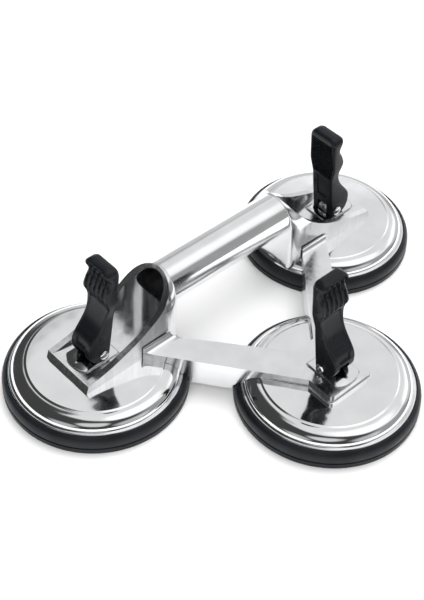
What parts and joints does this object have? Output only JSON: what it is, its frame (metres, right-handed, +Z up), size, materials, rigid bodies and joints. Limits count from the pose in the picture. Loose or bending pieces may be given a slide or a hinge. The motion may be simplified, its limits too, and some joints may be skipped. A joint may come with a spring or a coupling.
{
  "type": "vacuum suction cup lifter",
  "caption": "Lever-operated rubber vacuum cups under a polished aluminium frame with a tubular handle, for gripping and carrying smooth sheets such as glass.",
  "frame": {"origin": "on the ground under the middle of the whole lifter, at the middle of its box", "axes": "+X along the tube handle from cup A to cup B, +Y from the front cup towards the handle, +Z up"},
  "size_m": [0.323, 0.2212, 0.0981],
  "materials": {
    "polished_aluminium": "mirror polished",
    "black_rubber": "satin moulded rubber",
    "black_plastic": "semi-gloss moulded",
    "plated_steel": "bright zinc plated"
  },
  "bodies": {
    "frame": {"rubber_disc_a": "black_rubber", "cup_housing_a": "polished_aluminium", "return_spring_a": "plated_steel", "wear_plate_a": "plated_steel", "rubber_disc_b": "black_rubber", "cup_housing_b": "polished_aluminium", "return_spring_b": "plated_steel", "wear_plate_b": "plated_steel", "rubber_disc_c": "black_rubber", "cup_housing_c": "polished_aluminium", "return_spring_c": "plated_steel", "wear_plate_c": "plated_steel", "handle_socket_a": "polished_aluminium", "handle_socket_b": "polished_aluminium", "bridge": "polished_aluminium", "handle_tube": "polished_aluminium"},
    "draw_gear_a": {"backing_plate_a": "plated_steel", "draw_stud_a": "plated_steel", "pivot_pin_a": "plated_steel"},
    "lever_a": {"lever_a": "black_plastic"},
    "draw_gear_b": {"backing_plate_b": "plated_steel", "draw_stud_b": "plated_steel", "pivot_pin_b": "plated_steel"},
    "lever_b": {"lever_b": "black_plastic"},
    "draw_gear_c": {"backing_plate_c": "plated_steel", "draw_stud_c": "plated_steel", "pivot_pin_c": "plated_steel"},
    "lever_c": {"lever_c": "black_plastic"}
  },
  "joints": [
    {"name": "lift_a", "type": "slide", "parent": "frame", "child": "draw_gear_a", "axis": [0, 0, 1], "range_m": [0, 0.0073], "deforming": ["return_spring_a"]},
    {"name": "lever_turn_a", "type": "hinge", "parent": "draw_gear_a", "child": "lever_a", "pos_m": [-0.1025, 0.0516, 0.0313], "axis": [0, -1, 0], "range_deg": [0, 90]},
    {"name": "lift_b", "type": "slide", "parent": "frame", "child": "draw_gear_b", "axis": [0, 0, 1], "range_m": [0, 0.0073], "deforming": ["return_spring_b"]},
    {"name": "lever_turn_b", "type": "hinge", "parent": "draw_gear_b", "child": "lever_b", "pos_m": [0.1025, 0.0516, 0.0313], "axis": [0, 1, 0], "range_deg": [0, 90]},
    {"name": "lift_c", "type": "slide", "parent": "frame", "child": "draw_gear_c", "axis": [0, 0, 1], "range_m": [0, 0.0073], "deforming": ["return_spring_c"]},
    {"name": "lever_turn_c", "type": "hinge", "parent": "draw_gear_c", "child": "lever_c", "pos_m": [0, -0.0516, 0.0313], "axis": [1, 0, 0], "range_deg": [0, 90]}
  ],
  "couplings": [
    {"joint": "lever_turn_a", "follows": "lift_a", "rad_per_m": 215.17},
    {"joint": "lever_turn_b", "follows": "lift_b", "rad_per_m": 215.17},
    {"joint": "lever_turn_c", "follows": "lift_c", "rad_per_m": 215.17}
  ]
}
